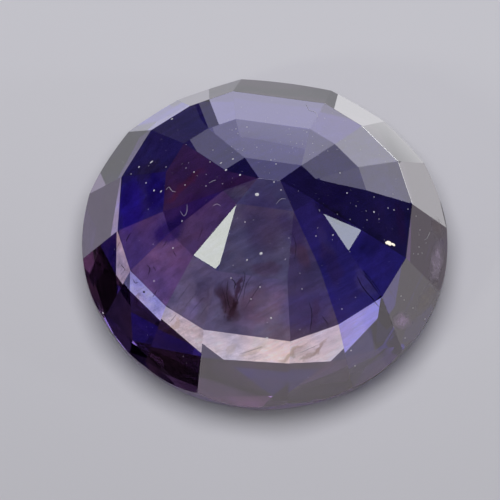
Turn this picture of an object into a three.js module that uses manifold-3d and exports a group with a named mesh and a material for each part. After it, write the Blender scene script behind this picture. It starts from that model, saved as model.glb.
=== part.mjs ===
// A cut iolite: a nearly round oval gem, drawn as it lies, face down on its table with its
// pointed side, the pavilion, up. It is one piece of crystal.
//
// Lengths are in millimetres and turns in degrees. The origin is the middle of the table, the flat
// face that the stone rests on. +X runs along the stone's length, and +Z up to the keel, the short
// ridge that the pavilion ends in.

import * as THREE from 'three';
import { ConvexGeometry } from 'three/addons/geometries/ConvexGeometry.js';
import { mergeVertices } from 'three/addons/utils/BufferGeometryUtils.js';
import Module from 'manifold-3d';

// The girdle is the rim round the stone's widest part, an oval.
const GIRDLE_LENGTH = 10.4;
const GIRDLE_WIDTH = 10.0;
const GIRDLE_THICKNESS = 0.2;
const GIRDLE_STEPS = 144;

// The crown is the shallow side, from the table up to the girdle. The table has eight straight sides,
// each with the turn of its outward direction from +X and its reach from the stone's upright axis. Its
// hand-cut sides aren't even, and it is a little off centre.
const CROWN_HEIGHT = 1.05;
const TABLE_SIDES = [
  { turn: 10, reach: 2.42 },
  { turn: 55, reach: 2.6 },
  { turn: 100, reach: 2.7 },
  { turn: 140, reach: 2.7 },
  { turn: 172, reach: 2.69 },
  { turn: 230, reach: 2.3 },
  { turn: 274, reach: 2.31 },
  { turn: 331, reach: 2.61 },
];
const STAR_SLOPE = 14;

// The pavilion has a facet on each of sixteen sides, alike in its four quarters. One quarter has these
// five sides, from the stone's end (+X) to its long side (+Y), each with the turn of its outward
// direction from +X.
const SIDE_TURNS = [0, 23.4, 49.5, 63, 90];

// Each tier of the pavilion ends in a level outline of straight sides. Its height is counted from the
// top of the girdle, and its reach is how far each side lies from the stone's upright axis.
const OUTER_TIER = { height: 2.09, reach: [4.11, 4.1, 3.9, 3.82, 3.66] };
const MIDDLE_TIER = { height: 3.3, reach: [2.81, 2.82, 2.61, 2.51, 2.32] };

// The inner tier ends in eight sides: those of every second direction. The others close in triangles.
const INNER_TIER = { height: 4.4, reach: [1.27, 1.06, 0.71] };
const KEEL = { height: 4.78, halfLength: 0.3 };

// The stone was cut by hand. Its keel and inner tier are off centre, three sides are turned a little,
// and two beside each other stand out a little. Sides are counted from +X towards +Y.
const KEEL_SHIFT = new THREE.Vector2(0.14, 0.02);
const TURNED_SIDES = { 4: -1.8, 8: 2.8, 12: -1.8 };
const WIDE_SIDES = { 5: 0.08, 6: 0.08 };

const STONE_COLOR = 0x2b2a6e;
const STONE_ROUGHNESS = 0.05;

const SIDE_COUNT = 16;
const HALF_LENGTH = GIRDLE_LENGTH / 2;
const HALF_WIDTH = GIRDLE_WIDTH / 2;
const GIRDLE_TOP = CROWN_HEIGHT + GIRDLE_THICKNESS;
const KEEL_TOP = GIRDLE_TOP + KEEL.height;

// The place of side i in its quarter, 0 to 4: the quarters mirror each other.
function placeInQuarter(i) {
  const step = i % 8;
  return step <= 4 ? step : 8 - step;
}

// The turn of side i of sixteen from +X, in radians, going round towards +Y.
function sideTurn(i) {
  const half = 180 * Math.floor(i / 8);
  const quarterTurn = SIDE_TURNS[placeInQuarter(i)];
  const turn = i % 8 <= 4 ? half + quarterTurn : half + 180 - quarterTurn;
  return THREE.MathUtils.degToRad(turn + (TURNED_SIDES[i] ?? 0));
}

// The corner where a side meets the next one, each given by its turn and its reach from the axis.
function cornerBetween(side, next) {
  const slant = Math.sin(next.turn - side.turn);
  const x = (side.reach * Math.sin(next.turn) - next.reach * Math.sin(side.turn)) / slant;
  const y = (next.reach * Math.cos(side.turn) - side.reach * Math.cos(next.turn)) / slant;
  return new THREE.Vector2(x, y);
}

// The corners of a level outline of straight sides, at a height above the table.
function outlineCorners(sides, height, shift = new THREE.Vector2()) {
  return sides.map((side, i) => {
    const corner = cornerBetween(side, sides[(i + 1) % sides.length]).add(shift);
    return new THREE.Vector3(corner.x, corner.y, height);
  });
}

function tierSides(tier) {
  return Array.from({ length: SIDE_COUNT }, (_, i) => ({
    turn: sideTurn(i),
    reach: tier.reach[placeInQuarter(i)] + (WIDE_SIDES[i] ?? 0),
  }));
}

function innerSides() {
  return Array.from({ length: SIDE_COUNT / 2 }, (_, j) => ({
    turn: sideTurn(2 * j),
    reach: INNER_TIER.reach[placeInQuarter(2 * j) / 2],
  }));
}

// The outer facets touch the top of the girdle. Here they are drawn on past it, to the table's level.
function skirtSides() {
  return tierSides(OUTER_TIER).map(({ turn, reach }) => {
    const girdleReach = Math.hypot(HALF_LENGTH * Math.cos(turn), HALF_WIDTH * Math.sin(turn));
    const spread = (girdleReach - reach) / OUTER_TIER.height;
    return { turn, reach: girdleReach + spread * GIRDLE_TOP };
  });
}

// The keel runs along the long sides' direction.
function keelEnds() {
  const turn = sideTurn(SIDE_COUNT / 4) - Math.PI / 2;
  const reach = new THREE.Vector3(Math.cos(turn), Math.sin(turn), 0).multiplyScalar(KEEL.halfLength);
  const middle = new THREE.Vector3(KEEL_SHIFT.x, KEEL_SHIFT.y, KEEL_TOP);
  return [middle.clone().add(reach), middle.clone().sub(reach)];
}

function pavilion() {
  return new ConvexGeometry([
    ...outlineCorners(skirtSides(), 0),
    ...outlineCorners(tierSides(OUTER_TIER), GIRDLE_TOP + OUTER_TIER.height),
    ...outlineCorners(tierSides(MIDDLE_TIER), GIRDLE_TOP + MIDDLE_TIER.height),
    ...outlineCorners(innerSides(), GIRDLE_TOP + INNER_TIER.height, KEEL_SHIFT),
    ...keelEnds(),
  ]);
}

// The point of the girdle's lower edge where the rim faces a turn.
function rimPoint(turn) {
  const x = HALF_LENGTH ** 2 * Math.cos(turn);
  const y = HALF_WIDTH ** 2 * Math.sin(turn);
  const reach = Math.hypot(HALF_LENGTH * Math.cos(turn), HALF_WIDTH * Math.sin(turn));
  return new THREE.Vector3(x / reach, y / reach, CROWN_HEIGHT);
}

// A slanting plane that rises outwards in the direction of a turn, by a steepness, from the table's
// level at a reach from the axis.
function risingPlane(turn, reach, steepness) {
  const normal = new THREE.Vector3(steepness * Math.cos(turn), steepness * Math.sin(turn), -1);
  return { normal, offset: steepness * reach };
}

function meetingPoint(planes) {
  const normals = planes.map(({ normal }) => normal.toArray());
  const turnedBack = new THREE.Matrix3(...normals.flat()).invert();
  return new THREE.Vector3(...planes.map(({ offset }) => offset)).applyMatrix3(turnedBack);
}

// The side of a level outline that a plane through three points makes at a height.
function levelSide(points, height) {
  const { normal, constant } = new THREE.Plane().setFromCoplanarPoints(...points);
  const spread = Math.hypot(normal.x, normal.y);
  return {
    turn: Math.atan2(normal.y, normal.x),
    reach: (-constant - normal.z * height) / spread,
  };
}

// A main facet runs from each corner of the table to the girdle, a star facet stands on each of its
// sides, and two break facets run from each star's tip to the girdle. Here the break facets are drawn
// on past it, to the keel's level.
function crown() {
  const sides = TABLE_SIDES.map(({ turn, reach }) => ({ turn: THREE.MathUtils.degToRad(turn), reach }));
  const corners = outlineCorners(sides, 0);
  const mains = corners.map((corner, i) => {
    const following = sides[(i + 1) % sides.length].turn + (i + 1 < sides.length ? 0 : 2 * Math.PI);
    const turn = (sides[i].turn + following) / 2;
    const reach = corner.x * Math.cos(turn) + corner.y * Math.sin(turn);
    const foot = rimPoint(turn);
    const run = foot.x * Math.cos(turn) + foot.y * Math.sin(turn) - reach;
    return { foot, plane: risingPlane(turn, reach, CROWN_HEIGHT / run) };
  });
  const starSteepness = Math.tan(THREE.MathUtils.degToRad(STAR_SLOPE));
  const stars = sides.map(({ turn, reach }, i) => {
    const before = mains[(i + mains.length - 1) % mains.length];
    const after = mains[i];
    const star = risingPlane(turn, reach, starSteepness);
    const tip = meetingPoint([star, before.plane, after.plane]);
    const foot = rimPoint(turn);
    const breaks = [
      levelSide([tip, foot, before.foot], KEEL_TOP),
      levelSide([tip, after.foot, foot], KEEL_TOP),
    ];
    return { tip, breaks };
  });
  return new ConvexGeometry([
    ...corners,
    ...mains.map(({ foot }) => foot),
    ...stars.map(({ tip }) => tip),
    ...outlineCorners(stars.flatMap(({ breaks }) => breaks), KEEL_TOP),
  ]);
}

// An upright oval drum as tall as the stone, whose wall is the girdle.
function drum() {
  const wall = new THREE.CylinderGeometry(1, 1, KEEL_TOP, GIRDLE_STEPS);
  wall.rotateX(Math.PI / 2);
  wall.scale(HALF_LENGTH, HALF_WIDTH, 1);
  wall.translate(0, 0, KEEL_TOP / 2);
  return wall;
}

const wasm = await Module();
wasm.setup();

function solidFrom(geometry) {
  geometry.deleteAttribute('normal');
  geometry.deleteAttribute('uv');
  const merged = mergeVertices(geometry);
  return new wasm.Manifold(
    new wasm.Mesh({
      numProp: 3,
      vertProperties: merged.attributes.position.array,
      triVerts: new Uint32Array(merged.index.array),
    }),
  );
}

// The stone is what the drum, the pavilion and the crown have in common.
function stoneGeometry() {
  const stone = solidFrom(drum()).intersect(solidFrom(pavilion())).intersect(solidFrom(crown()));
  const { vertProperties, triVerts } = stone.getMesh();
  const geometry = new THREE.BufferGeometry();
  geometry.setAttribute('position', new THREE.BufferAttribute(vertProperties, 3));
  geometry.setIndex(new THREE.BufferAttribute(triVerts, 1));
  geometry.computeVertexNormals();
  return geometry;
}

const stoneMaterial = new THREE.MeshStandardMaterial({
  color: STONE_COLOR,
  roughness: STONE_ROUGHNESS,
  metalness: 0,
  flatShading: true,
});

const gem = new THREE.Mesh(stoneGeometry(), stoneMaterial);
gem.name = 'iolite_gem';

const stoneGroup = new THREE.Group();
stoneGroup.add(gem);

export default stoneGroup;
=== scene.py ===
"""A cut iolite lying on its table, seen from above its pavilion: finish, inclusions, dust and studio."""

import math
import random

import bmesh
import bpy
from mathutils import Matrix, Vector


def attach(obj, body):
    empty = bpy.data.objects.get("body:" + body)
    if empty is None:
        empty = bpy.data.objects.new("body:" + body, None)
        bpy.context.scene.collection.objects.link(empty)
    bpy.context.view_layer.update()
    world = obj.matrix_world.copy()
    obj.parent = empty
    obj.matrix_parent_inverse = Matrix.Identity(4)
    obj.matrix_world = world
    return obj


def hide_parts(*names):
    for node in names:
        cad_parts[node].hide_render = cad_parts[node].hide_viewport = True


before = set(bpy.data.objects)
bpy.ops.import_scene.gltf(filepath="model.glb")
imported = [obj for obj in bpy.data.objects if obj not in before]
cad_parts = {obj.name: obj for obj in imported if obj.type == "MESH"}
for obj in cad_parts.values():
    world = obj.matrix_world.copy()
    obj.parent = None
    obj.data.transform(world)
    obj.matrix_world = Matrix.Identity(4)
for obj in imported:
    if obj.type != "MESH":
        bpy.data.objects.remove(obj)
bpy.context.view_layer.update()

MM = 0.001

# The photo's side and scale, and the camera: its turn from -Y towards +X, its elevation and its roll in
# degrees, and its distance. The photo shows the middle of the girdle's top at the girdle's pixel.
IMAGE_SIDE = 500
PIXELS_PER_MM = 35.15
CAMERA_AZIMUTH = 7.2
CAMERA_ELEVATION = 68.0
CAMERA_ROLL = -0.7
CAMERA_DISTANCE = 250 * MM
CLIP_RANGE = (10 * MM, 3.0)
SENSOR_WIDTH = 36.0
GIRDLE_HEIGHT = 1.25 * MM
GIRDLE_PIXEL = (264.7, 243.7)

CRYSTAL_IOR = 1.545
CRYSTAL_ABSORPTION_COLOR = (0.36, 0.12, 0.5, 1.0)
CRYSTAL_ABSORPTION_DENSITY = 200.0
GIRDLE_ROUGHNESS = 0.34

# Iolite shows another colour in each direction, so each facet takes a tint by the way it faces. The
# tints are partly that colour and partly painted light and shade: each facet's brightness in the studio
# light is painted into its tint.
TINTS_AND_SHADES = {
    "ink": (0.0002, 0.0001, 0.0048),
    "navy": (0.0008, 0.0006, 0.015),
    "deep_blue": (0.0008, 0.0005, 0.030),
    "lilac_blue": (0.0014, 0.0010, 0.030),
    "indigo": (0.0019, 0.0004, 0.0175),
    "plum": (0.0030, 0.0006, 0.010),
    "violet": (0.010, 0.0045, 0.050),
    "maroon": (0.010, 0.0022, 0.020),
    "heather": (0.0136, 0.0060, 0.032),
    "mauve": (0.034, 0.014, 0.062),
    "smoke": (0.036, 0.036, 0.066),
    "ash": (0.023, 0.029, 0.048),
    "slate": (0.011, 0.0165, 0.050),
    "dusk": (0.010, 0.0085, 0.026),
    "black": (0.0015, 0.0008, 0.0015),
    "pale_violet": (0.050, 0.055, 0.450),
    "periwinkle": (0.115, 0.138, 0.760),
    "lilac": (0.360, 0.440, 0.950),
    "cream": (0.720, 0.800, 0.620),
    "rose": (0.550, 0.450, 0.430),
    "sand": (0.460, 0.540, 0.560),
    "wisteria": (0.095, 0.088, 0.210),
    "clear": (0.900, 0.850, 0.880),
}

# The tint and painted light and shade of each sector of the pavilion, from the side that faces -X round
# by -Y: the outer facets, the middle ones, the inner ones and those at the keel.
SECTORS = [
    (-177, "wisteria", "deep_blue", "plum", "plum"),
    (-157, "rose", "violet", "indigo", "indigo"),
    (-130, "lilac", "mauve", "heather", "dusk"),
    (-117, "cream", "smoke", "slate", "slate"),
    (-91, "cream", "smoke", "ash", "slate"),
    (-62, "sand", "dusk", "dusk", "dusk"),
    (-50, "periwinkle", "lilac_blue", "lilac_blue", "navy"),
    (-23, "deep_blue", "deep_blue", "deep_blue", "navy"),
    (0, "maroon", "ink", "ink", "ink"),
    (23, "black", "navy", "navy", "ink"),
    (50, "black", "lilac_blue", "navy", "ink"),
    (63, "black", "lilac_blue", "navy", "ink"),
    (88, "black", "ink", "lilac_blue", "lilac_blue"),
    (117, "black", "navy", "lilac_blue", "ink"),
    (130, "pale_violet", "navy", "navy", "ink"),
    (156, "violet", "navy", "plum", "ink"),
]
# The least upward part of a facet's normal in each tier, from the outer tier in.
TIER_STEEPNESS = (0.0, 0.64, 0.76, 0.87)
# All that faces up less than this is clear: the girdle, the crown and the table.
CLEAR_BELOW = 0.1
# The upward or downward part of the normal is less than this only on the girdle's wall.
GIRDLE_STEEPNESS = 0.43


def deselect_all():
    bpy.ops.object.select_all(action="DESELECT")


def outward(azimuth, elevation):
    """The direction with an azimuth, counted from +X towards +Y, and an elevation, in degrees."""
    a = math.radians(azimuth)
    e = math.radians(elevation)
    return Vector((math.cos(a) * math.cos(e), math.sin(a) * math.cos(e), math.sin(e)))


def view_axes():
    """The photo's right, up and towards-the-camera directions."""
    back = outward(CAMERA_AZIMUTH - 90, CAMERA_ELEVATION)
    right = Matrix.Rotation(math.radians(CAMERA_ROLL), 3, back) @ outward(CAMERA_AZIMUTH, 0)
    return right, back.cross(right), back


def pixel_offset(x, y):
    """Where a pixel of the photo lies in the upright plane of the picture, from the girdle's middle."""
    right, up, _ = view_axes()
    across = (x - GIRDLE_PIXEL[0]) / PIXELS_PER_MM * MM
    rise = (GIRDLE_PIXEL[1] - y) / PIXELS_PER_MM * MM
    return right * across + up * rise


def camera_place():
    _, _, back = view_axes()
    middle = Vector((0.0, 0.0, GIRDLE_HEIGHT))
    return middle + pixel_offset(IMAGE_SIDE / 2, IMAGE_SIDE / 2) + back * CAMERA_DISTANCE


def make_camera():
    right, up, back = view_axes()
    deselect_all()
    bpy.ops.object.camera_add()
    camera = bpy.context.object
    camera.name = "camera"
    camera.data.sensor_width = SENSOR_WIDTH
    camera.data.lens = SENSOR_WIDTH * CAMERA_DISTANCE / (IMAGE_SIDE / PIXELS_PER_MM * MM)
    camera.data.clip_start, camera.data.clip_end = CLIP_RANGE
    turned = Matrix((right, up, back)).transposed().to_4x4()
    camera.matrix_world = Matrix.Translation(camera_place()) @ turned
    bpy.context.scene.camera = camera


def new_material(name):
    material = bpy.data.materials.new(name)
    material.use_nodes = True
    material.node_tree.nodes.clear()
    return material, material.node_tree.nodes, material.node_tree.links


def surface_point(gem, x, y):
    """The point of the stone that the photo shows at a pixel, the way it faces there and the view."""
    start = camera_place()
    view = (Vector((0.0, 0.0, GIRDLE_HEIGHT)) + pixel_offset(x, y) - start).normalized()
    hit, point, normal, _ = gem.ray_cast(start, view)
    if not hit:
        raise ValueError(f"the pixel {x}, {y} is beside the stone")
    return point, normal, view


def inner_point(gem, x, y, depth):
    """The point inside the stone, at a depth along the bent ray, that the photo shows at a pixel."""
    point, normal, view = surface_point(gem, x, y)
    facing = -normal.dot(view)
    ratio = 1 / CRYSTAL_IOR
    bent = ratio * view + (ratio * facing - math.sqrt(1 - ratio**2 * (1 - facing**2))) * normal
    return point + bent * depth


def patch_group():
    """A node group that changes a colour inside a soft ellipsoid."""
    group = bpy.data.node_groups.new("tint_and_shade_patch", "ShaderNodeTree")
    for name, kind in (
        ("Color", "NodeSocketColor"),
        ("Place", "NodeSocketVector"),
        ("Middle", "NodeSocketVector"),
        ("Along", "NodeSocketVector"),
        ("Across", "NodeSocketVector"),
        ("Deep", "NodeSocketVector"),
        ("Tint", "NodeSocketVector"),
    ):
        group.interface.new_socket(name, in_out="INPUT", socket_type=kind)
    group.interface.new_socket("Color", in_out="OUTPUT", socket_type="NodeSocketColor")
    nodes, links = group.nodes, group.links
    given = nodes.new("NodeGroupInput")
    result = nodes.new("NodeGroupOutput")
    offset = nodes.new("ShaderNodeVectorMath")
    offset.operation = "SUBTRACT"
    links.new(given.outputs["Place"], offset.inputs[0])
    links.new(given.outputs["Middle"], offset.inputs[1])
    parts = nodes.new("ShaderNodeCombineXYZ")
    for k, name in enumerate(("Along", "Across", "Deep")):
        part = nodes.new("ShaderNodeVectorMath")
        part.operation = "DOT_PRODUCT"
        links.new(offset.outputs["Vector"], part.inputs[0])
        links.new(given.outputs[name], part.inputs[1])
        links.new(part.outputs["Value"], parts.inputs[k])
    distance = nodes.new("ShaderNodeVectorMath")
    distance.operation = "LENGTH"
    links.new(parts.outputs["Vector"], distance.inputs[0])
    mask = nodes.new("ShaderNodeMapRange")
    mask.interpolation_type = "SMOOTHSTEP"
    mask.inputs["From Min"].default_value = 1.0
    mask.inputs["From Max"].default_value = PATCH_CORE
    links.new(distance.outputs["Value"], mask.inputs["Value"])
    tinted = nodes.new("ShaderNodeVectorMath")
    tinted.operation = "MULTIPLY"
    links.new(given.outputs["Color"], tinted.inputs[0])
    links.new(given.outputs["Tint"], tinted.inputs[1])
    mixed = nodes.new("ShaderNodeMix")
    mixed.data_type = "VECTOR"
    links.new(mask.outputs["Result"], mixed.inputs["Factor"])
    links.new(given.outputs["Color"], mixed.inputs["A"])
    links.new(tinted.outputs["Vector"], mixed.inputs["B"])
    links.new(mixed.outputs["Result"], result.inputs["Color"])
    return group


# Soft patches where the colour changes inside a facet. They are partly the crystal's own zoning and the
# dark leaf of inclusions, and partly painted light and shade that brings the facets' tones to those
# seen: the photo's pixel, the half lengths in pixels along and across, the turn of the long way from the
# picture's right, and the tint.
TINT_AND_SHADE_PATCHES = [
    (131, 206, 34, 16, 80, (0.6, 0.35, 1.9)),
    (150, 172, 22, 12, 20, (0.9, 0.9, 0.45)),
    (156, 190, 26, 12, 75, (0.3, 0.2, 0.8)),
    (183, 184, 30, 6, 37, (2.0, 0.8, 0.5)),
    (236, 183, 22, 9, 5, (0.7, 0.45, 0.6)),
    (168, 228, 27, 17, 20, (0.14, 0.1, 0.55)),
    (193, 207, 30, 12, 30, (0.65, 0.5, 1.0)),
    (265, 220, 40, 32, 90, (0.6, 0.43, 0.6)),
    (262, 302, 36, 24, 0, (1.4, 1.05, 1.05)),
    (268, 268, 18, 12, 0, (0.8, 0.5, 0.55)),
    (293, 230, 26, 12, 110, (0.5, 0.45, 0.9)),
    (302, 258, 24, 9, 105, (1.15, 0.7, 0.5)),
    (206, 292, 22, 11, 68, (0.42, 0.4, 0.5)),
    (192, 311, 14, 9, 50, (1.4, 1.35, 1.7)),
    (229, 306, 26, 13, 98, (0.34, 0.19, 0.17)),
    (227, 296, 20, 12, 95, (0.55, 0.38, 0.4)),
    (242, 286, 15, 4, 80, (0.24, 0.12, 0.15)),
    (236, 300, 14, 4.5, 64, (0.26, 0.14, 0.17)),
    (229, 314, 13, 5, 58, (0.35, 0.2, 0.22)),
    (252, 300, 28, 10, 62, (0.95, 0.85, 0.8)),
    (250, 320, 22, 10, 10, (1.5, 1.3, 1.4)),
    (277, 300, 16, 12, 90, (1.4, 1.3, 1.25)),
    (310, 308, 34, 24, 20, (0.9, 0.85, 1.7)),
    (314, 312, 22, 6, 80, (0.85, 0.65, 0.6)),
    (330, 262, 30, 10, 110, (1.4, 1.0, 0.6)),
    (326, 240, 22, 7, 125, (1.9, 2.0, 1.0)),
    (364, 280, 18, 8, 135, (2.8, 3.0, 1.2)),
    (371, 243, 20, 12, 20, (0.35, 0.35, 0.4)),
    (402, 222, 24, 8, 100, (2.2, 0.8, 0.8)),
    (290, 353, 22, 3, 30, (0.55, 0.5, 0.36)),
    (312, 351, 18, 3, 28, (0.5, 0.42, 0.34)),
    (322, 345, 14, 3, 35, (0.6, 0.5, 0.42)),
    (255, 352, 18, 3, 18, (0.75, 0.7, 0.55)),
    (230, 350, 12, 5, 40, (0.85, 0.8, 0.65)),
    (137, 300, 8, 4, 45, (0.6, 0.5, 0.35)),
    (172, 326, 16, 4, 60, (0.8, 0.7, 0.55)),
    (334, 196, 24, 9, 15, (0.5, 0.35, 0.75)),
    (333, 213, 32, 8, -29, (0.3, 0.2, 0.17)),
    (238, 195, 13, 7, 5, (1.9, 2.6, 1.5)),
    (303, 352, 20, 8, 10, (0.6, 0.6, 0.6)),
]
# A patch's reach towards the camera and away from it, and the share of its reach where its tint is full.
PATCH_DEPTH = 1.2 * MM
PATCH_CORE = 0.45

# How a noise varies the tints: its scale and detail, what its low and its high places multiply a tint
# by, and how far from the noise's middle value these lie. The growth of the natural crystal shows as
# soft clouds, as warmer and cooler zones and as fine silk.
CLOUDS = (620.0, 6.0, (0.5, 0.5, 0.55), (1.45, 1.45, 1.38), 0.2)
ZONES = (330.0, 3.0, (0.82, 0.98, 1.25), (1.22, 1.0, 0.76), 0.16)
SILK = (4200.0, 4.0, (0.68, 0.68, 0.68), (1.34, 1.34, 1.34), 0.2)
NOISE_ROUGHNESS = 0.62
# The silk lines' turn from +X in degrees, and how much longer than wide they are.
SILK_TURN = 38
SILK_STRETCH = 9.0
# The patches' outlines wander by up to half of this way, by a noise of this scale and detail.
DRIFT = 0.9 * MM
DRIFT_NOISE = (900.0, 4.0)


def add_noise(tree, place, scale, detail):
    noise = tree.nodes.new("ShaderNodeTexNoise")
    noise.inputs["Scale"].default_value = scale
    noise.inputs["Detail"].default_value = detail
    noise.inputs["Roughness"].default_value = NOISE_ROUGHNESS
    tree.links.new(place, noise.inputs["Vector"])
    return noise


def varied_by(tree, color, place, scale, detail, low, high, spread):
    """The colour, multiplied by a noise that runs from a low tint to a high one."""
    noise = add_noise(tree, place, scale, detail)
    reach = tree.nodes.new("ShaderNodeMapRange")
    reach.data_type = "FLOAT_VECTOR"
    reach.inputs["From Min"].default_value = (0.5 - spread,) * 3
    reach.inputs["From Max"].default_value = (0.5 + spread,) * 3
    reach.inputs["To Min"].default_value = low
    reach.inputs["To Max"].default_value = high
    tree.links.new(noise.outputs["Fac"], reach.inputs["Vector"])
    product = tree.nodes.new("ShaderNodeVectorMath")
    product.operation = "MULTIPLY"
    tree.links.new(color, product.inputs[0])
    tree.links.new(reach.outputs["Vector"], product.inputs[1])
    return product.outputs["Vector"]


def silk_place(tree, place):
    """The place, drawn out along the silk lines."""
    drawn = tree.nodes.new("ShaderNodeMapping")
    drawn.vector_type = "TEXTURE"
    drawn.inputs["Rotation"].default_value = (0.0, 0.0, math.radians(SILK_TURN))
    drawn.inputs["Scale"].default_value = (SILK_STRETCH, 1.0, 1.0)
    tree.links.new(place, drawn.inputs["Vector"])
    return drawn.outputs["Vector"]


def drifting_place(tree, place):
    """The place, moved a little by a noise whose middle value moves nothing."""
    drift = tree.nodes.new("ShaderNodeVectorMath")
    drift.operation = "MULTIPLY_ADD"
    drift.inputs[1].default_value = (DRIFT,) * 3
    tree.links.new(add_noise(tree, place, *DRIFT_NOISE).outputs["Color"], drift.inputs[0])
    tree.links.new(place, drift.inputs[2])
    shifted = tree.nodes.new("ShaderNodeVectorMath")
    shifted.operation = "SUBTRACT"
    shifted.inputs[1].default_value = (DRIFT / 2,) * 3
    tree.links.new(drift.outputs["Vector"], shifted.inputs[0])
    return shifted.outputs["Vector"]


def patched(tree, color, place, gem):
    """The colour, changed by each of the patches in turn, which partly paint light and shade."""
    right, up, back = view_axes()
    group = patch_group()
    for x, y, along, across, turn, patch_tint in TINT_AND_SHADE_PATCHES:
        point, _, _ = surface_point(gem, x, y)
        cosine, sine = math.cos(math.radians(turn)), math.sin(math.radians(turn))
        patch = tree.nodes.new("ShaderNodeGroup")
        patch.node_tree = group
        patch.inputs["Middle"].default_value = point
        patch.inputs["Along"].default_value = (right * cosine + up * sine) * PIXELS_PER_MM / MM / along
        patch.inputs["Across"].default_value = (up * cosine - right * sine) * PIXELS_PER_MM / MM / across
        patch.inputs["Deep"].default_value = back / PATCH_DEPTH
        patch.inputs["Tint"].default_value = patch_tint
        tree.links.new(color, patch.inputs["Color"])
        tree.links.new(place, patch.inputs["Place"])
        color = patch.outputs["Color"]
    return color


def crystal_material(gem):
    """See-through crystal in the facets' tints, which hold each facet's painted light and shade as well
    as its colour. The girdle isn't polished: it is finely ground.
    """
    material, nodes, links = new_material("iolite_crystal")
    tree = material.node_tree
    output = nodes.new("ShaderNodeOutputMaterial")
    crystal = nodes.new("ShaderNodeBsdfPrincipled")
    crystal.inputs["IOR"].default_value = CRYSTAL_IOR
    crystal.inputs["Transmission Weight"].default_value = 1.0
    absorption = nodes.new("ShaderNodeVolumeAbsorption")
    absorption.inputs["Color"].default_value = CRYSTAL_ABSORPTION_COLOR
    absorption.inputs["Density"].default_value = CRYSTAL_ABSORPTION_DENSITY
    links.new(crystal.outputs["BSDF"], output.inputs["Surface"])
    links.new(absorption.outputs["Volume"], output.inputs["Volume"])

    # Each facet's tint holds its painted light and shade as well as the crystal's colour.
    tint = nodes.new("ShaderNodeAttribute")
    tint.attribute_name = "facet_tint_and_shade"
    place = nodes.new("ShaderNodeTexCoord").outputs["Object"]
    color = varied_by(tree, tint.outputs["Color"], place, *CLOUDS)
    color = varied_by(tree, color, place, *ZONES)
    color = varied_by(tree, color, silk_place(tree, place), *SILK)
    # The patches add the crystal's zoning and the leaf, and in part painted light and shade.
    color = patched(tree, color, drifting_place(tree, place), gem)
    links.new(color, crystal.inputs["Base Color"])

    ground = nodes.new("ShaderNodeAttribute")
    ground.attribute_name = "ground"
    rough = nodes.new("ShaderNodeMath")
    rough.operation = "MULTIPLY"
    rough.inputs[1].default_value = GIRDLE_ROUGHNESS
    links.new(ground.outputs["Fac"], rough.inputs[0])
    links.new(rough.outputs["Value"], crystal.inputs["Roughness"])
    return material


def facet_tint_and_shade(normal):
    """The tint of a facet by the way it faces, with the facet's light and shade painted in."""
    if normal.z < CLEAR_BELOW:
        return TINTS_AND_SHADES["clear"]
    azimuth = math.degrees(math.atan2(normal.y, normal.x))
    sector = min(SECTORS, key=lambda row: abs((azimuth - row[0] + 180) % 360 - 180))
    tier = sum(normal.z > least for least in TIER_STEEPNESS)
    return TINTS_AND_SHADES[sector[tier]]


def tint_and_shade_facets(mesh):
    """Gives each face its tint with its painted light and shade, and marks the ground ones."""
    tints = mesh.attributes.new("facet_tint_and_shade", "FLOAT_COLOR", "CORNER")
    ground = mesh.attributes.new("ground", "FLOAT", "FACE")
    for face in mesh.polygons:
        tint = (*facet_tint_and_shade(face.normal), 1.0)
        ground.data[face.index].value = 1.0 if abs(face.normal.z) < GIRDLE_STEEPNESS else 0.0
        for corner in face.loop_indices:
            tints.data[corner].color = tint


# Corners of the CAD mesh this close are one corner, and faces that differ by less than this many
# degrees are one facet.
MERGE_DISTANCE = 0.001 * MM
FACET_FLATNESS = 0.6
# The ridges that lie above this height all along are worn a little, and the others are sharp.
WORN_ABOVE = 1.7 * MM
RIDGE_WEAR = 0.011 * MM
WEAR_SEGMENTS = 2


def mark_ridges(data):
    """Gives the ridges that are worn the full bevel weight."""
    mesh = bmesh.new()
    mesh.from_mesh(data)
    weights = mesh.edges.layers.float.new("bevel_weight_edge")
    for edge in mesh.edges:
        if min(corner.co.z for corner in edge.verts) > WORN_ABOVE:
            edge[weights] = 1.0
    mesh.to_mesh(data)
    mesh.free()


def make_gem():
    """The stone's facets as whole faces, with the slightly worn ridges that a polished stone has."""
    deselect_all()
    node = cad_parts["iolite_gem"]
    gem = node.copy()
    gem.data = node.data.copy()
    gem.name = "faceted_stone"
    gem.parent = None
    for key in list(gem.keys()):
        del gem[key]
    bpy.context.collection.objects.link(gem)
    gem.select_set(True)
    bpy.context.view_layer.objects.active = gem
    bpy.ops.object.mode_set(mode="EDIT")
    bpy.ops.mesh.select_all(action="SELECT")
    bpy.ops.mesh.remove_doubles(threshold=MERGE_DISTANCE)
    bpy.ops.mesh.dissolve_limited(angle_limit=math.radians(FACET_FLATNESS))
    bpy.ops.object.mode_set(mode="OBJECT")
    mark_ridges(gem.data)
    wear = gem.modifiers.new("worn_ridges", "BEVEL")
    wear.width = RIDGE_WEAR
    wear.segments = WEAR_SEGMENTS
    wear.limit_method = "WEIGHT"
    bpy.ops.object.modifier_apply(modifier=wear.name)
    tint_and_shade_facets(gem.data)
    gem.data.materials.clear()
    gem.data.materials.append(crystal_material(gem))
    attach(gem, "root")
    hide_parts("iolite_gem")
    return gem


# A thread's steps between two of its points, its sides, and its ends' thickness as a share of its
# middle's.
THREAD_STEPS = 5
THREAD_SIDES = 5
THREAD_TIP = 0.35


def smooth_path(points):
    """The points joined by a smooth curve that passes through them all."""
    ends = [2 * points[0] - points[1], *points, 2 * points[-1] - points[-2]]
    path = []
    for before, start, end, after in zip(ends, ends[1:], ends[2:], ends[3:]):
        for k in range(THREAD_STEPS):
            t = k / THREAD_STEPS
            bend = (end - before) * t
            bend += (2 * before - 5 * start + 4 * end - after) * t**2
            bend += (3 * start - before - 3 * end + after) * t**3
            path.append(start + bend / 2)
    path.append(points[-1])
    return path


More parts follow.
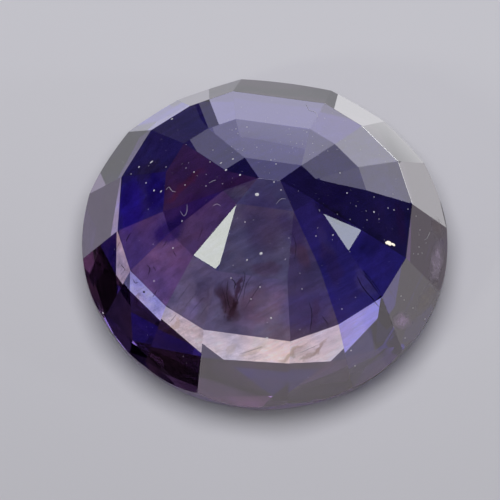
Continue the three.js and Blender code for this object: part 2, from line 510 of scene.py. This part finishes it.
def add_thread(mesh, points, radius):
    """A thread with tapered ends along a path."""
    path = smooth_path(points)
    rings = []
    for k, point in enumerate(path):
        way = path[min(k + 1, len(path) - 1)] - path[max(k - 1, 0)]
        side = way.orthogonal().normalized()
        other = way.normalized().cross(side)
        fullness = math.sin(math.pi * k / (len(path) - 1)) ** 0.5
        thick = radius * (THREAD_TIP + (1 - THREAD_TIP) * fullness)
        corners = []
        for j in range(THREAD_SIDES):
            turn = 2 * math.pi * j / THREAD_SIDES
            away = side * math.cos(turn) + other * math.sin(turn)
            corners.append(mesh.verts.new(point + away * thick))
        rings.append(corners)
    for ring, following in zip(rings, rings[1:]):
        for j in range(THREAD_SIDES):
            after = (j + 1) % THREAD_SIDES
            mesh.faces.new((ring[j], ring[after], following[after], following[j]))
    mesh.faces.new(rings[0][::-1])
    mesh.faces.new(rings[-1])


# How far a grain's corners are moved at random, as a share of its radius.
GRAIN_UNEVENNESS = 0.16


def model_grain(subdivisions):
    """An uneven lump with a radius of about 1, which specks are copies of."""
    deselect_all()
    bpy.ops.mesh.primitive_ico_sphere_add(subdivisions=subdivisions, radius=1.0)
    grain = bpy.context.object
    bpy.ops.object.mode_set(mode="EDIT")
    bpy.ops.mesh.select_all(action="SELECT")
    bpy.ops.transform.vertex_random(offset=GRAIN_UNEVENNESS, seed=3)
    bpy.ops.object.mode_set(mode="OBJECT")
    lump = grain.data
    bpy.data.objects.remove(grain)
    return lump


def add_speck(mesh, lump, point, normal, radius, stretch=1.0, turn=0.0, rise=0.45):
    """A copy of a lump, flattened to a rise where it lies on a surface, and stretched one way."""
    right, up, _ = view_axes()
    way = right * math.cos(math.radians(turn)) + up * math.sin(math.radians(turn))
    along = (way - normal * way.dot(normal)).normalized()
    across = normal.cross(along)
    axes = Matrix((along * stretch, across, normal * rise)).transposed().to_4x4()
    place = Matrix.Translation(point) @ axes @ Matrix.Scale(radius, 4)
    before = len(mesh.verts)
    mesh.from_mesh(lump)
    mesh.verts.ensure_lookup_table()
    bmesh.ops.transform(mesh, matrix=place, verts=mesh.verts[before:])


def finish_piece(name, mesh, material):
    """Makes the mesh a piece of the stone."""
    bmesh.ops.recalc_face_normals(mesh, faces=mesh.faces)
    data = bpy.data.meshes.new(name)
    mesh.to_mesh(data)
    mesh.free()
    data.materials.append(material)
    piece = bpy.data.objects.new(name, data)
    bpy.context.collection.objects.link(piece)
    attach(piece, "root")


def plain_material(name, dark, light, roughness, grain, glow=0.0):
    """An opaque finish whose colour varies between a dark and a light tone with a fine grain. It can
    glow in the light tone by the given strength, which paints light.
    """
    material, nodes, links = new_material(name)
    output = nodes.new("ShaderNodeOutputMaterial")
    surface = nodes.new("ShaderNodeBsdfPrincipled")
    surface.inputs["Roughness"].default_value = roughness
    surface.inputs["Emission Strength"].default_value = glow
    surface.inputs["Emission Color"].default_value = (*light, 1.0)
    noise = nodes.new("ShaderNodeTexNoise")
    noise.inputs["Scale"].default_value = grain
    ramp = nodes.new("ShaderNodeValToRGB")
    ramp.color_ramp.elements[0].color = (*dark, 1.0)
    ramp.color_ramp.elements[1].color = (*light, 1.0)
    links.new(nodes.new("ShaderNodeTexCoord").outputs["Object"], noise.inputs["Vector"])
    links.new(noise.outputs["Fac"], ramp.inputs["Fac"])
    links.new(ramp.outputs["Color"], surface.inputs["Base Color"])
    links.new(surface.outputs["BSDF"], output.inputs["Surface"])
    return material


# Dark threads inside the stone: their depth and radius in mm, and the photo's pixels along them.
NEEDLES = [
    (0.25, 0.010, [(120, 242), (117, 247)]),
    (0.25, 0.012, [(117, 248), (114, 252)]),
    (0.25, 0.010, [(114.5, 254), (112, 257)]),
    (0.35, 0.012, [(131, 233), (128, 237), (126, 242)]),
    (0.35, 0.012, [(121, 265), (124, 268), (125, 271)]),
    (0.30, 0.010, [(133, 279), (135, 283), (138, 282)]),
    (0.40, 0.012, [(147, 265), (150, 269), (148, 275)]),
    (0.40, 0.010, [(153, 266), (156, 271)]),
    (0.40, 0.010, [(173, 251), (176, 256)]),
    (0.40, 0.008, [(163, 247), (167, 240)]),
    (0.35, 0.010, [(157, 290), (153, 297)]),
    (0.60, 0.013, [(231, 278), (235, 283), (234, 289)]),
    (0.70, 0.008, [(243, 272), (245, 276), (242, 289), (236, 304)]),
    (0.70, 0.007, [(228, 280), (227, 296), (231, 312)]),
    (0.70, 0.006, [(252, 274), (246, 285), (243, 300)]),
    (0.80, 0.006, [(222, 288), (226, 304), (224, 320)]),
    (0.60, 0.005, [(262, 282), (252, 297), (245, 309)]),
    (0.50, 0.012, [(357, 276), (362, 286), (370, 296), (383, 311)]),
    (0.50, 0.010, [(363, 271), (371, 283), (381, 293)]),
    (0.50, 0.008, [(386, 286), (397, 301)]),
    (0.60, 0.008, [(309, 302), (312, 314), (310, 332)]),
    (0.60, 0.008, [(322, 316), (329, 325)]),
    (0.50, 0.0045, [(184, 308), (197, 292)]),
    (0.50, 0.0045, [(190, 313), (204, 297)]),
    (0.50, 0.0045, [(178, 300), (190, 284)]),
    (0.50, 0.0045, [(197, 320), (209, 303)]),
    (0.30, 0.007, [(240, 354), (262, 347)]),
    (0.30, 0.007, [(300, 353), (318, 345)]),
    (0.30, 0.007, [(170, 322), (176, 315)]),
    (0.50, 0.006, [(203, 228), (198, 240)]),
    (0.60, 0.006, [(290, 232), (296, 246), (294, 262)]),
]
# A black grain inside the stone: its pixel, and its depth and radius in mm.
BLACK_GRAIN = (144, 292, 0.15, 0.035)
# Pale threads that lie on the stone: their width in mm, and the photo's pixels along them.
LINT = [
    (0.009, [(306, 104), (309, 110), (315, 112), (318, 118)]),
    (0.007, [(187, 204), (187, 211), (184, 216), (180, 211)]),
    (0.007, [(213, 206), (217, 204), (221, 206)]),
    (0.009, [(166, 190), (169, 187), (172, 191), (176, 192)]),
    (0.007, [(276, 204), (281, 199), (286, 199)]),
    (0.008, [(209, 183), (213, 181), (216, 180)]),
    (0.008, [(430, 232), (427, 238), (424, 240)]),
]
# Single grains of dust: the photo's pixel, the radius in pixels, the stretch and its turn.
DUST = [
    (139, 167, 1.5, 1.2, 60), (151.5, 162, 1.5, 2.3, 25), (146, 183, 1.2, 1.0, 0),
    (154, 190.5, 1.7, 1.0, 0), (161, 191.5, 1.3, 1.8, 25), (194, 172, 1.3, 1.0, 0),
    (226, 170, 1.6, 1.3, 40), (233, 159, 1.5, 1.2, 0), (221, 163, 1.1, 2.0, 30),
    (210, 162, 1.0, 1.0, 0), (240, 175, 1.5, 1.2, 0), (257, 194.5, 2.9, 1.2, 0),
    # The first grain below, at 261, 253.5, is partly dust and partly a painted glint.
    (261, 253.5, 2.3, 1.2, 30), (182, 221, 0.9, 1.8, 60), (185, 185, 1.1, 1.0, 0),
    (206, 186, 0.9, 1.0, 0), (245, 222, 1.0, 1.0, 0), (173, 248, 1.3, 1.0, 0),
    (154, 281, 1.1, 1.0, 0), (131, 174, 0.9, 1.0, 0), (166, 167, 0.9, 1.3, 0),
    (247, 260, 1.1, 1.5, 60), (115, 226, 0.9, 1.0, 0), (231, 278, 1.1, 1.0, 0),
    (274, 182, 1.2, 1.0, 0), (281, 190, 1.0, 1.0, 0), (271, 160, 1.1, 1.0, 0),
    (276, 164, 1.0, 1.4, 30), (347, 193, 1.2, 1.0, 0), (374, 212, 1.5, 1.0, 0),
    (374, 197, 0.9, 1.0, 0), (356, 206, 0.7, 1.0, 0), (388, 208, 1.0, 1.0, 0),
    (394, 210, 0.9, 1.6, 120), (408, 209, 0.9, 1.0, 0), (367, 220, 0.8, 1.0, 0),
    (350, 219.5, 0.8, 1.0, 0), (379, 219, 0.8, 1.0, 0), (316, 236, 0.9, 1.0, 0),
    (333, 235, 0.9, 1.6, 50), (340, 173, 1.1, 1.0, 0), (393, 194, 0.9, 1.0, 0),
    (420, 230, 0.9, 1.0, 0), (419, 235, 0.7, 1.0, 0), (419, 247, 1.0, 1.0, 0),
    (418, 254, 0.9, 1.0, 0), (422, 253, 0.8, 1.0, 0), (416, 216, 0.8, 1.0, 0),
    (426, 243, 0.8, 1.0, 0), (271, 318, 1.7, 1.0, 0), (267, 338, 1.5, 1.2, 0),
    (260, 287, 1.1, 1.0, 0), (251, 299, 1.0, 1.0, 0), (302, 289, 0.9, 1.0, 0),
    (342, 309, 0.9, 1.0, 0), (351, 350.5, 1.1, 1.0, 0), (355, 366, 0.9, 1.0, 0),
    (401, 296, 1.0, 1.0, 0), (404, 300, 0.8, 1.0, 0), (413, 308, 0.9, 1.0, 0),
    (425, 319, 1.1, 1.0, 0), (405, 338, 0.9, 1.0, 0), (103, 313, 1.3, 1.6, 130),
    (172, 119, 1.6, 1.4, 0), (186, 168, 0.8, 1.0, 0), (213, 150, 0.9, 1.0, 0),
    (247, 127, 1.1, 1.2, 0), (236, 129, 0.9, 1.0, 0),
]
# The photo's blur makes a grain look larger than it is. This is its true share of that.
DUST_SHARE = 0.6
# The finest dust lies at random: some of it anywhere within a reach of the stone's middle, in mm, and
# some between the left, right, top and bottom pixels of the photo's dustiest stretch. The radius runs
# from the first size up by as much as the second, in mm.
FINE_GRAINS = 220
FINE_REACH = 4.6
FINE_SIZE = (0.003, 0.008)
DUSTIEST_GRAINS = 110
DUSTIEST_PIXELS = (228, 350, 110, 160)
DUSTIEST_SIZE = (0.004, 0.010)
DUST_SEED = 7
# The rays that find where a random grain lies start at this height.
ABOVE_ALL = 20 * MM
# The parts of the bright fleck, a cream crumb that glows as a painted glint: the photo's pixel, the
# radius in pixels and the stretch.
FLECK = [(389.0, 243.3, 2.2, 1.6), (393.2, 244.6, 1.3, 2.0), (386.6, 243.0, 1.4, 1.3)]
FLECK_TURN = -14
FLECK_RISE = 0.8

# Hazy places on the polish. The pale ones are painted glints, where a healed crack under the polish
# catches the light. The darker ones are brownish films along the rim. The columns are the photo's pixel,
# the half lengths in pixels along and across, the turn of the long way from the picture's right, the
# colour and how dense the haze is.
VEILS_AND_GLINTS = [
    (436.5, 262, 24, 7, 80, (0.85, 0.68, 0.92), 1.0),
    (402, 321, 11, 10, 0, (0.90, 0.66, 0.98), 1.0),
    (427, 297, 21, 7, 62, (0.50, 0.42, 0.39), 0.8),
    (437, 228, 12, 6, 100, (0.34, 0.25, 0.26), 0.8),
]
VEIL_RISE = 0.003 * MM
VEIL_RINGS = 6
VEIL_STEPS = 28
# A noise, this many times over, is taken off the haze's density. Where what is left is at the low end of
# the range the haze doesn't show, and at the high end it covers this share of what is behind it.
VEIL_RAGGEDNESS = 3.0
VEIL_RANGE = (-1.35, 0.1)
VEIL_COVER = 0.55


def haze_material():
    """A ragged, partly see-through haze in the colour and density of its corners; where it is pale, it
    paints a glint.
    """
    material, nodes, links = new_material("hazy_veils_and_glints")
    output = nodes.new("ShaderNodeOutputMaterial")
    surface = nodes.new("ShaderNodeBsdfPrincipled")
    surface.inputs["Roughness"].default_value = 0.35
    tint = nodes.new("ShaderNodeAttribute")
    tint.attribute_name = "veil_tint"
    noise = nodes.new("ShaderNodeTexNoise")
    noise.inputs["Scale"].default_value = 3400.0
    noise.inputs["Detail"].default_value = 8.0
    noise.inputs["Roughness"].default_value = 0.7
    links.new(nodes.new("ShaderNodeTexCoord").outputs["Object"], noise.inputs["Vector"])
    ragged = nodes.new("ShaderNodeMath")
    ragged.operation = "MULTIPLY_ADD"
    ragged.inputs[1].default_value = -VEIL_RAGGEDNESS
    links.new(noise.outputs["Fac"], ragged.inputs[0])
    links.new(tint.outputs["Alpha"], ragged.inputs[2])
    density = nodes.new("ShaderNodeMapRange")
    density.inputs["From Min"].default_value = VEIL_RANGE[0]
    density.inputs["From Max"].default_value = VEIL_RANGE[1]
    density.inputs["To Max"].default_value = VEIL_COVER
    links.new(ragged.outputs["Value"], density.inputs["Value"])
    links.new(density.outputs["Result"], surface.inputs["Alpha"])
    links.new(tint.outputs["Color"], surface.inputs["Base Color"])
    links.new(surface.outputs["BSDF"], output.inputs["Surface"])
    return material


def add_veil(mesh, gem, x, y, along, across, turn, color, density):
    """A thin film that lies on the stone round a pixel and fades towards its edge."""
    tints = mesh.verts.layers.float_color["veil_tint"]
    cosine, sine = math.cos(math.radians(turn)), math.sin(math.radians(turn))

    def film_point(share, k):
        a = along * share * math.cos(2 * math.pi * k / VEIL_STEPS)
        b = across * share * math.sin(2 * math.pi * k / VEIL_STEPS)
        point, normal, _ = surface_point(gem, x + a * cosine - b * sine, y - a * sine - b * cosine)
        corner = mesh.verts.new(point + normal * VEIL_RISE)
        corner[tints] = (*color, density * (1 - share**2))
        return corner

    middle = film_point(0.0, 0)
    inner = None
    for ring in range(1, VEIL_RINGS + 1):
        outer = [film_point(ring / VEIL_RINGS, k) for k in range(VEIL_STEPS)]
        for k in range(VEIL_STEPS):
            after = (k + 1) % VEIL_STEPS
            if inner is None:
                mesh.faces.new((middle, outer[k], outer[after]))
            else:
                mesh.faces.new((inner[k], outer[k], outer[after], inner[after]))
        inner = outer


def make_veils(gem):
    mesh = bmesh.new()
    mesh.verts.layers.float_color.new("veil_tint")
    for veil in VEILS_AND_GLINTS:
        add_veil(mesh, gem, *veil)
    finish_piece("hazy_veils_and_glints", mesh, haze_material())


def make_needles(gem, lump):
    """The dark needles and the black grain inside the stone."""
    mesh = bmesh.new()
    for depth, radius, pixels in NEEDLES:
        add_thread(mesh, [inner_point(gem, x, y, depth * MM) for x, y in pixels], radius * MM)
    x, y, depth, radius = BLACK_GRAIN
    _, normal, _ = surface_point(gem, x, y)
    add_speck(mesh, lump, inner_point(gem, x, y, depth * MM), normal, radius * MM, rise=1.0)
    brown = plain_material(
        "dark_needles", (0.012, 0.006, 0.006), (0.05, 0.022, 0.012), roughness=0.7, grain=9000.0
    )
    finish_piece("inner_needles", mesh, brown)


def lint_path(gem, radius, pixels):
    """The points of a thread that lies on the stone along some pixels."""
    path = []
    for x, y in pixels:
        point, normal, _ = surface_point(gem, x, y)
        path.append(point + normal * radius)
    return path


def add_fine_grain(mesh, crumb, point, normal, size, grains):
    """A grain with a random radius, stretch and turn."""
    least, more = size
    radius = (least + more * grains.random() ** 3) * MM
    add_speck(mesh, crumb, point, normal, radius, grains.uniform(1, 2), grains.uniform(0, 180))


def make_dust(gem, lump, crumb):
    """The dust and lint on the stone: what the photo shows grain by grain, and finer dust at random."""
    mesh = bmesh.new()
    for x, y, radius, stretch, turn in DUST:
        point, normal, _ = surface_point(gem, x, y)
        size = DUST_SHARE * radius / PIXELS_PER_MM * MM
        add_speck(mesh, lump, point, normal, size, stretch, turn)
    for width, pixels in LINT:
        radius = width / 2 * MM
        add_thread(mesh, lint_path(gem, radius, pixels), radius)

    grains = random.Random(DUST_SEED)
    for _ in range(FINE_GRAINS):
        away = outward(grains.uniform(0, 360), 0) * FINE_REACH * math.sqrt(grains.random()) * MM
        _, point, normal, _ = gem.ray_cast(away + Vector((0, 0, ABOVE_ALL)), Vector((0, 0, -1)))
        add_fine_grain(mesh, crumb, point, normal, FINE_SIZE, grains)
    left, right, top, bottom = DUSTIEST_PIXELS
    for _ in range(DUSTIEST_GRAINS):
        point, normal, _ = surface_point(gem, grains.uniform(left, right), grains.uniform(top, bottom))
        add_fine_grain(mesh, crumb, point, normal, DUSTIEST_SIZE, grains)
    white = plain_material(
        "pale_dust", (0.62, 0.60, 0.66), (0.95, 0.94, 0.98), roughness=0.9, grain=30000.0
    )
    finish_piece("surface_dust", mesh, white)


def make_fleck(gem, lump):
    """The one bright fleck on the stone: a crumb whose glow paints a glint."""
    mesh = bmesh.new()
    for x, y, radius, stretch in FLECK:
        point, normal, _ = surface_point(gem, x, y)
        size = radius / PIXELS_PER_MM * MM
        add_speck(mesh, lump, point, normal, size, stretch, FLECK_TURN, FLECK_RISE)
    cream = plain_material(
        "cream_fleck_glint", (0.95, 0.75, 0.48), (1.0, 0.96, 0.86), roughness=0.5, grain=14000.0, glow=0.5
    )
    finish_piece("glowing_fleck", mesh, cream)


def make_small_things(gem):
    """What lies in and on the stone."""
    lump = model_grain(subdivisions=2)
    crumb = model_grain(subdivisions=1)
    make_needles(gem, lump)
    make_dust(gem, lump, crumb)
    make_fleck(gem, lump)


FLOOR_RADIUS = 350 * MM
# The floor lies this far below the stone's table, so that the two faces don't fall together.
FLOOR_DROP = 0.02 * MM
# The near tone is painted shade; the far tone is the floor's own pale colour.
FLOOR_FAR_TONE = (0.76, 0.75, 0.8, 1.0)
FLOOR_SHADED_TONE = (0.62, 0.61, 0.65, 1.0)
# The levels of Y between which the near, painted-shade tone turns into the far one.
FLOOR_NEAR = -14 * MM
FLOOR_FAR = 10 * MM
FLOOR_SIDES = 96


def make_floor():
    """A pale, round floor with painted shade that darkens it a little towards the camera."""
    deselect_all()
    bpy.ops.mesh.primitive_circle_add(
        vertices=FLOOR_SIDES, radius=FLOOR_RADIUS, fill_type="NGON", location=(0, 0, -FLOOR_DROP)
    )
    floor = bpy.context.object
    floor.name = "pale_floor"
    material, nodes, links = new_material("pale_floor")
    output = nodes.new("ShaderNodeOutputMaterial")
    surface = nodes.new("ShaderNodeBsdfPrincipled")
    surface.inputs["Roughness"].default_value = 0.9
    place = nodes.new("ShaderNodeSeparateXYZ")
    links.new(nodes.new("ShaderNodeTexCoord").outputs["Object"], place.inputs["Vector"])
    shade = nodes.new("ShaderNodeMapRange")
    shade.interpolation_type = "SMOOTHSTEP"
    shade.inputs["From Min"].default_value = FLOOR_NEAR
    shade.inputs["From Max"].default_value = FLOOR_FAR
    links.new(place.outputs["Y"], shade.inputs["Value"])
    tones = nodes.new("ShaderNodeValToRGB")
    tones.color_ramp.elements[0].color = FLOOR_SHADED_TONE
    tones.color_ramp.elements[1].color = FLOOR_FAR_TONE
    links.new(shade.outputs["Result"], tones.inputs["Fac"])
    links.new(tones.outputs["Color"], surface.inputs["Base Color"])
    links.new(surface.outputs["BSDF"], output.inputs["Surface"])
    floor.data.materials.append(material)


def add_panel(name, middle, facing, size, radiance, tone=(1.0, 1.0, 1.0), shape="RECTANGLE"):
    """A soft light with its middle at a point, shining in the direction that it faces."""
    deselect_all()
    bpy.ops.object.light_add(type="AREA", location=middle)
    panel = bpy.context.object
    panel.name = name
    panel.rotation_euler = (-Vector(facing)).to_track_quat("Z", "Y").to_euler()
    panel.visible_camera = False
    panel.data.shape = shape
    panel.data.size = size[0]
    panel.data.size_y = size[1]
    panel.data.color = tone
    area = size[0] * size[1] * (1.0 if shape == "RECTANGLE" else math.pi / 4)
    panel.data.energy = radiance * math.pi * area
    return panel


# A low fence of soft lights round the stone, in mm and degrees. Each stretch has its lowest and highest
# level, its radiance, the azimuths that it spans and its tone.
FENCE_RADIUS = 6.3
FENCE_STEP = 12
WARM = (1.0, 0.88, 0.98)
COOL = (0.90, 0.88, 1.0)
LILAC_WHITE = (0.84, 0.82, 1.0)
FENCE = [
    (0.0, 3.4, 1.6, -105, -40, WARM),
    (0.0, 3.4, 1.3, -40, -8, WARM),
    (0.0, 3.4, 0.42, -8, 18, (1.0, 0.72, 0.98)),
    (2.2, 4.3, 1.88, 24, 40, (1.0, 0.97, 1.0)),
    (2.2, 4.3, 2.48, 40, 60, (1.0, 0.99, 0.98)),
    (2.2, 4.3, 2.65, 60, 78, (0.78, 0.74, 1.0)),
    (2.2, 4.3, 2.95, 78, 116, (0.70, 0.67, 1.0)),
    (2.2, 4.3, 0.12, 120, 138, LILAC_WHITE),
    (4.3, 6.2, 1.6, 24, 44, COOL),
    (4.3, 6.2, 1.15, 44, 64, COOL),
    (4.3, 6.2, 2.15, 64, 118, LILAC_WHITE),
    (4.3, 6.2, 1.3, 118, 130, LILAC_WHITE),
    (6.2, 7.6, 1.2, 60, 112, LILAC_WHITE),
]
# Lights that lie on the floor round the stone: azimuth, distance, width and depth in mm, radiance and
# tone. From the camera, the two strong ones farthest out show only in the worn ridges.
LYING_LIGHTS = [
    (31, 7.9, 2.6, 2.8, 1.35, (0.99, 0.95, 1.0)),
    (58, 6.9, 3.4, 3.2, 1.12, (0.98, 0.97, 1.0)),
    (127, 6.6, 2.8, 2.4, 0.3, COOL),
    (174, 7.6, 4.0, 4.2, 0.62, (0.74, 0.58, 0.96)),
    (62, 13.4, 8.0, 4.0, 13.0, (0.97, 0.97, 1.0)),
    (37, 10.6, 4.0, 2.2, 9.0, (0.97, 0.97, 1.0)),
]
# Black cards outside the fence, in mm and degrees: the lowest level and the azimuths that each spans.
CARD_RADIUS = 7.0
CARD_TOP = 5.0
CARDS = [(2.0, 118, 184), (0.0, 184, 252)]
CARD_STEPS = 12
CARD_BLACK = (0.004, 0.004, 0.005, 1.0)


def make_card(low, first, last):
    """A curved black card beside the stone, where it is only seen in the stone's facets."""
    deselect_all()
    bpy.ops.mesh.primitive_grid_add(x_subdivisions=CARD_STEPS, y_subdivisions=1, size=1.0)
    card = bpy.context.object
    card.name = f"dark_card_{first}"
    for corner in card.data.vertices:
        away = outward(first + (last - first) * (corner.co.x + 0.5), 0)
        level = low + (CARD_TOP - low) * (corner.co.y + 0.5)
        corner.co = (away * CARD_RADIUS + Vector((0, 0, level))) * MM
    material, nodes, links = new_material(card.name)
    output = nodes.new("ShaderNodeOutputMaterial")
    surface = nodes.new("ShaderNodeBsdfPrincipled")
    surface.inputs["Base Color"].default_value = CARD_BLACK
    surface.inputs["Roughness"].default_value = 1.0
    surface.inputs["Specular IOR Level"].default_value = 0.0
    links.new(surface.outputs["BSDF"], output.inputs["Surface"])
    card.data.materials.append(material)
    card.visible_camera = False
    card.visible_diffuse = False
    card.visible_shadow = False


# The air shines dimly round the stone, and only the camera sees the pale wall.
AIR_COLOR = (0.9, 0.93, 1.0, 1.0)
AIR_STRENGTH = 0.04
WALL_COLOR = (0.279, 0.279, 0.301, 1.0)


def make_air():
    world = bpy.data.worlds.new("studio_air")
    world.use_nodes = True
    nodes, links = world.node_tree.nodes, world.node_tree.links
    nodes.clear()
    output = nodes.new("ShaderNodeOutputWorld")
    dim_air = nodes.new("ShaderNodeBackground")
    dim_air.inputs["Color"].default_value = AIR_COLOR
    dim_air.inputs["Strength"].default_value = AIR_STRENGTH
    pale_wall = nodes.new("ShaderNodeBackground")
    pale_wall.inputs["Color"].default_value = WALL_COLOR
    seen = nodes.new("ShaderNodeMixShader")
    links.new(nodes.new("ShaderNodeLightPath").outputs["Is Camera Ray"], seen.inputs["Fac"])
    links.new(dim_air.outputs["Background"], seen.inputs[1])
    links.new(pale_wall.outputs["Background"], seen.inputs[2])
    links.new(seen.outputs["Shader"], output.inputs["Surface"])
    bpy.context.scene.world = world


# The round light high above, and the one that lies under the stone and shines up into its table: their
# places, sizes and radiances.
SOFTBOX_PLACE = (0, 0, 0.5)
SOFTBOX_SIZE = (0.45, 0.45)
SOFTBOX_RADIANCE = 3.85
SOFTBOX_TONE = (0.98, 0.98, 1.0)
UNDER_PLACE = (0.05 * MM, 0.2 * MM, -0.01 * MM)
UNDER_SIZE = (6.3 * MM, 5.4 * MM)
UNDER_RADIANCE = 0.95
# The square lamps: azimuth, elevation, how far each stands aside in mm, radiance and tone. Each is set
# so that its edge cuts its reflection in one facet as the photo shows.
LAMP_DISTANCE = 250 * MM
LAMP_SIDE = 30 * MM
LAMPS = [
    ("left_lamp", -133, 39, -13.37, 12.1, (0.955, 1.0, 0.85)),
    ("right_lamp", -3, 24, -12.5, 7.3, (0.87, 0.94, 1.0)),
]


def make_lamps():
    """The lights that everything is lit by."""
    down, up = (0, 0, -1), (0, 0, 1)
    add_panel("top_softbox", SOFTBOX_PLACE, down, SOFTBOX_SIZE, SOFTBOX_RADIANCE, SOFTBOX_TONE, "DISK")
    add_panel("under_light", UNDER_PLACE, up, UNDER_SIZE, UNDER_RADIANCE)
    middle = Vector((0.0, 0.0, GIRDLE_HEIGHT))
    for name, azimuth, elevation, aside, radiance, tone in LAMPS:
        away = outward(azimuth, elevation)
        place = middle + away * LAMP_DISTANCE + outward(azimuth + 90, 0) * aside * MM
        add_panel(name, place, -away, (LAMP_SIDE, LAMP_SIDE), radiance, tone)


def add_fence(low, high, radiance, first, last, tone):
    """One stretch of the fence, in flat panels side by side."""
    count = round((last - first) / FENCE_STEP)
    step = (last - first) / count
    width = 2 * FENCE_RADIUS * math.tan(math.radians(step / 2))
    size = (width * MM, (high - low) * MM)
    panels = []
    for k in range(count):
        away = outward(first + step * (k + 0.5), 0)
        place = (away * FENCE_RADIUS + Vector((0, 0, (low + high) / 2))) * MM
        panels.append(add_panel(f"fence_{low:.0f}_{first}_{k}", place, -away, size, radiance, tone))
    return panels


def add_lying_light(azimuth, distance, width, depth, radiance, tone):
    place = outward(azimuth, 0) * distance * MM
    light = add_panel(f"lying_{azimuth}", place, (0, 0, 1), (depth * MM, width * MM), radiance, tone)
    light.rotation_euler = (math.pi, 0, math.radians(azimuth))
    return light


def make_low_lights(gem):
    """The fence and the lying lights, which light the stone alone."""
    low_lights = []
    for stretch in FENCE:
        low_lights += add_fence(*stretch)
    for row in LYING_LIGHTS:
        low_lights.append(add_lying_light(*row))
    stone_only = bpy.data.collections.new("stone_only")
    stone_only.objects.link(gem)
    for light in low_lights:
        light.light_linking.receiver_collection = stone_only


LIGHT_BOUNCES = 32


def set_light_paths():
    cycles = bpy.context.scene.cycles
    cycles.max_bounces = LIGHT_BOUNCES
    cycles.transmission_bounces = LIGHT_BOUNCES
    cycles.glossy_bounces = LIGHT_BOUNCES
    bpy.context.scene.view_settings.view_transform = "Standard"


make_camera()
stone = make_gem()
make_veils(stone)
make_small_things(stone)
make_floor()
make_air()
make_lamps()
make_low_lights(stone)
for span in CARDS:
    make_card(*span)
set_light_paths()
